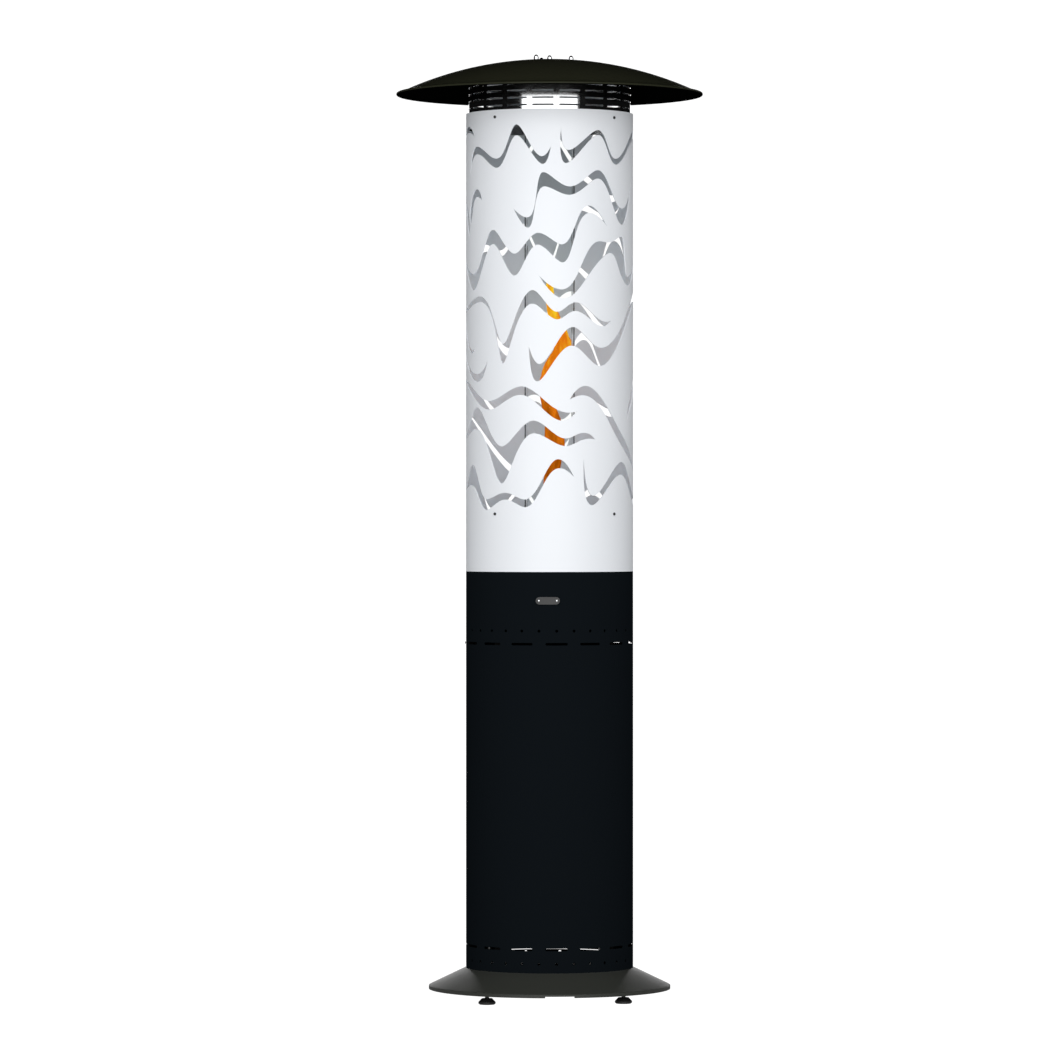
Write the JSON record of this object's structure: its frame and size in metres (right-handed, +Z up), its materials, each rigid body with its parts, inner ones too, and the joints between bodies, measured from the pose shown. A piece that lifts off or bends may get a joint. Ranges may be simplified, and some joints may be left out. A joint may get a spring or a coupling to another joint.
{
  "type": "patio heater",
  "caption": "Free-standing gas patio heater: black bottle housing on a skirted base, laser-cut white shell round a glass flame tube, slotted collar and domed hood.",
  "frame": {"origin": "on the floor, under the centre of the housing", "axes": "+Z up the heater, -Y out of its front (the side with the name plate), +X to its left as one faces the same way as it does"},
  "size_m": [0.734, 0.734, 2.2574],
  "materials": {
    "housing_black": "black powder coat",
    "foot_metal": "satin black",
    "zinc_steel": "zinc plated",
    "shell_white": "white powder coat, satin",
    "polished_steel": "polished",
    "plate_grey": "dark grey satin",
    "dark_screws": "blackened",
    "glass": "clear borosilicate",
    "gasket": "woven glass fibre",
    "valve_brass": "machined",
    "burner_steel": "heat-tinted stainless",
    "ceramic": "glazed",
    "black_plastic": "moulded",
    "magnet": "sintered"
  },
  "bodies": {
    "frame": {"acorn_nuts": "polished_steel", "base_plate": "zinc_steel", "base_skirt": "housing_black", "bottle_shelf": "zinc_steel", "burner_deck": "zinc_steel", "burner_drum": "zinc_steel", "burner_head": "burner_steel", "burner_pan": "zinc_steel", "collar": "polished_steel", "collar_spacer_ring": "zinc_steel", "control_plate": "housing_black", "door_magnets": "magnet", "foot_weld_nuts": "zinc_steel", "gas_inlet_nipple": "valve_brass", "gas_pipe": "valve_brass", "gas_valve": "valve_brass", "glass_base_cup": "zinc_steel", "glass_base_gasket": "gasket", "glass_top_ring": "zinc_steel", "glass_tube": "glass", "head_brackets": "zinc_steel", "heat_deflector": "zinc_steel", "hinge_frame_leaves": "housing_black", "hinge_pins": "polished_steel", "hood": "housing_black", "hood_bridge": "zinc_steel", "hood_spacers": "zinc_steel", "hood_studs": "zinc_steel", "igniter_body": "black_plastic", "ignition_electrode": "ceramic", "injector": "valve_brass", "lower_sleeve": "housing_black", "name_plate": "plate_grey", "name_plate_rivets": "polished_steel", "pilot_bracket": "zinc_steel", "post_front_left": "zinc_steel", "post_front_right": "zinc_steel", "post_rear_left": "zinc_steel", "post_rear_right": "zinc_steel", "shelf_ring": "zinc_steel", "shell_screws_lower": "dark_screws", "shell_screws_upper": "dark_screws", "shell_seat_ring": "zinc_steel", "sleeve_screws": "polished_steel", "thermocouple": "burner_steel", "tilt_switch": "black_plastic", "upper_shell": "shell_white", "venturi_tube": "burner_steel"},
    "foot_front_left": {"foot_front_left": "foot_metal"},
    "foot_front_right": {"foot_front_right": "foot_metal"},
    "foot_rear_left": {"foot_rear_left": "foot_metal"},
    "foot_rear_right": {"foot_rear_right": "foot_metal"},
    "door": {"rear_door": "housing_black", "hinge_door_leaves": "housing_black", "door_pull": "polished_steel"},
    "stem": {"valve_stem": "valve_brass"},
    "knob": {"control_knob": "black_plastic"},
    "button": {"igniter_button": "black_plastic"}
  },
  "joints": [
    {"name": "foot_front_left_screw", "type": "slide", "parent": "frame", "child": "foot_front_left", "axis": [0, 0, -1], "range_m": [0, 0.012]},
    {"name": "foot_front_right_screw", "type": "slide", "parent": "frame", "child": "foot_front_right", "axis": [0, 0, -1], "range_m": [0, 0.012]},
    {"name": "foot_rear_left_screw", "type": "slide", "parent": "frame", "child": "foot_rear_left", "axis": [0, 0, -1], "range_m": [0, 0.012]},
    {"name": "foot_rear_right_screw", "type": "slide", "parent": "frame", "child": "foot_rear_right", "axis": [0, 0, -1], "range_m": [0, 0.012]},
    {"name": "door_swing", "type": "hinge", "parent": "frame", "child": "door", "pos_m": [0.19607, 0.05845, 0.46], "axis": [0, 0, -1], "range_deg": [0, 110]},
    {"name": "stem_turn", "type": "hinge", "parent": "frame", "child": "stem", "pos_m": [-0.03, 0.17, 0.94], "axis": [0, 1, 0], "range_deg": [0, 180]},
    {"name": "knob_push", "type": "slide", "parent": "stem", "child": "knob", "axis": [0, -1, 0], "range_m": [0, 0.003], "stiffness_N_per_m": 1500, "springref_m": -0.003},
    {"name": "button_push", "type": "slide", "parent": "frame", "child": "button", "axis": [0, -1, 0], "range_m": [0, 0.006], "stiffness_N_per_m": 1000, "springref_m": -0.004}
  ]
}
